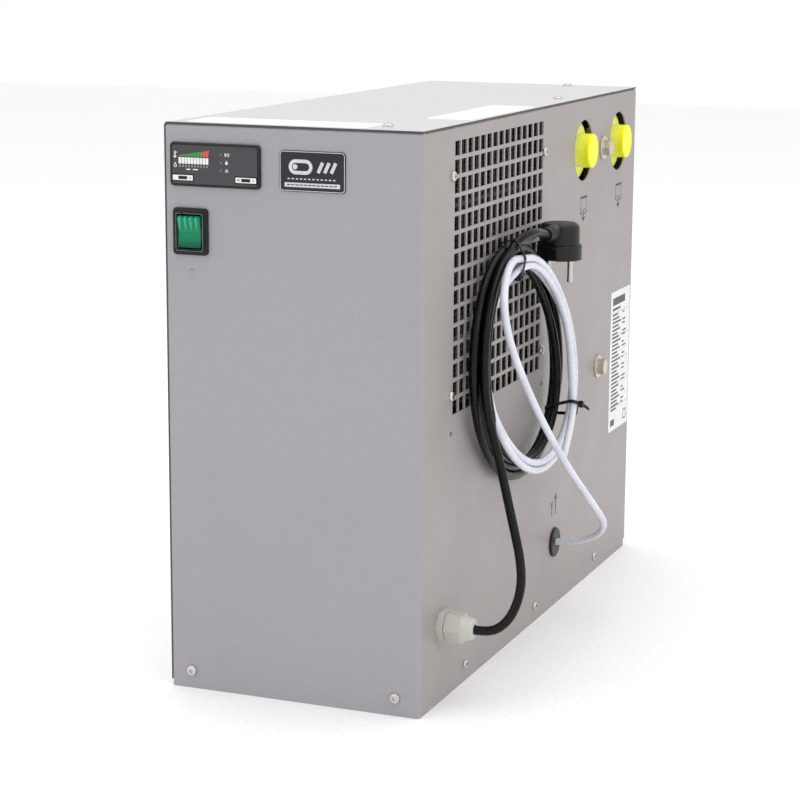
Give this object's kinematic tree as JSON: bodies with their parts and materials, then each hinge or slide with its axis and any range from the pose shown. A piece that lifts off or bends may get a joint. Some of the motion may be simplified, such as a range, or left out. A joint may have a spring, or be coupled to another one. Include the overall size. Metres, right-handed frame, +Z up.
{
  "type": "refrigerated air dryer",
  "caption": "Compact box-shaped refrigerated compressed-air dryer with intake grille, capped side ports, digital dryness controller, lit power switch, mains lead and drain tube.",
  "frame": {"origin": "centre of the base, on the surface that the dryer stands on", "axes": "+Z up, front towards -Y, air and cord connections towards +X"},
  "size_m": [0.2733, 0.551, 0.4422],
  "materials": {
    "panel_paint": "textured light grey powder coat",
    "cover_paint": "light grey powder coat",
    "galvanised": "galvanised sheet",
    "steel": "bright zinc",
    "zinc": "yellowish zinc",
    "brass": "machined",
    "copper": "drawn copper",
    "aluminium": "bare fins",
    "black_steel": "black enamel",
    "black_plastic": "moulded",
    "gloss_black": "glossy",
    "white_film": "printed film",
    "badge": "anodised black",
    "green_lens": "translucent lens",
    "yellow_plastic": "soft moulded",
    "white_nylon": "moulded nylon",
    "drain_nylon": "translucent tube",
    "black_rubber": "soft",
    "black_foam": "insulation foam",
    "cord_pvc": "smooth sheath"
  },
  "bodies": {
    "casing": {"base_tray": "panel_paint", "front_panel": "panel_paint", "side_panel": "panel_paint", "cover": "cover_paint", "rear_panel": "panel_paint", "end_screws": "steel", "side_screws": "steel", "condenser_screws": "steel", "cover_screws": "steel", "controller_housing": "black_plastic", "controller_fascia": "gloss_black", "badge_plate": "badge", "switch_bezel": "black_plastic", "switch_body": "black_plastic", "inlet_port": "brass", "outlet_port": "brass", "exchanger_bolts": "zinc", "exchanger_washers": "zinc", "rating_label": "white_film", "heat_exchanger": "black_foam", "exchanger_bracket": "galvanised", "condensate_separator": "aluminium", "drain_valve": "brass", "drain_valve_coil": "black_plastic", "drain_hose": "drain_nylon", "condenser_fins": "aluminium", "condenser_bends": "copper", "fan_shroud": "black_steel", "fan_motor": "black_steel", "fan_bracket": "galvanised", "compressor_shell": "black_steel", "compressor_feet": "black_steel", "compressor_mounts": "black_rubber", "compressor_terminal_cover": "black_plastic", "filter_dryer": "copper", "bypass_valve": "brass", "refrigerant_pipes": "copper", "terminal_block": "white_nylon", "run_capacitor": "white_film", "wiring": "cord_pvc", "gland_body": "white_nylon", "gland_nut": "white_nylon", "gland_locknut": "white_nylon", "drain_grommet": "black_rubber", "mains_lead": "cord_pvc", "mains_coil": "cord_pvc", "mains_lead_end": "cord_pvc", "plug_body": "black_rubber", "plug_pins": "steel", "drain_tube": "drain_nylon", "drain_coil": "drain_nylon", "drain_tube_end": "drain_nylon", "tie_top": "black_plastic", "tie_side": "black_plastic"},
    "switch_rocker": {"switch_rocker": "green_lens"},
    "left_button": {"left_button": "black_plastic"},
    "right_button": {"right_button": "black_plastic"},
    "inlet_cap": {"inlet_cap": "yellow_plastic"},
    "outlet_cap": {"outlet_cap": "yellow_plastic"},
    "fan": {"fan_rotor": "black_plastic"}
  },
  "joints": [
    {"name": "switch_rock", "type": "hinge", "parent": "casing", "child": "switch_rocker", "pos_m": [-0.0822, -0.2685, 0.3587], "axis": [1, 0, 0], "range_deg": [-10, 0]},
    {"name": "left_button_press", "type": "slide", "parent": "casing", "child": "left_button", "axis": [0, 1, 0], "range_m": [0, 0.0005], "stiffness_N_per_m": 1500},
    {"name": "right_button_press", "type": "slide", "parent": "casing", "child": "right_button", "axis": [0, 1, 0], "range_m": [0, 0.0005], "stiffness_N_per_m": 1500},
    {"name": "inlet_cap_pull", "type": "slide", "parent": "casing", "child": "inlet_cap", "axis": [1, 0, 0], "range_m": [0, 0.06]},
    {"name": "outlet_cap_pull", "type": "slide", "parent": "casing", "child": "outlet_cap", "axis": [1, 0, 0], "range_m": [0, 0.06]},
    {"name": "fan_spin", "type": "hinge", "parent": "casing", "child": "fan", "pos_m": [0, -0.1035, 0.3245], "axis": [1, 0, 0], "continuous": true}
  ]
}
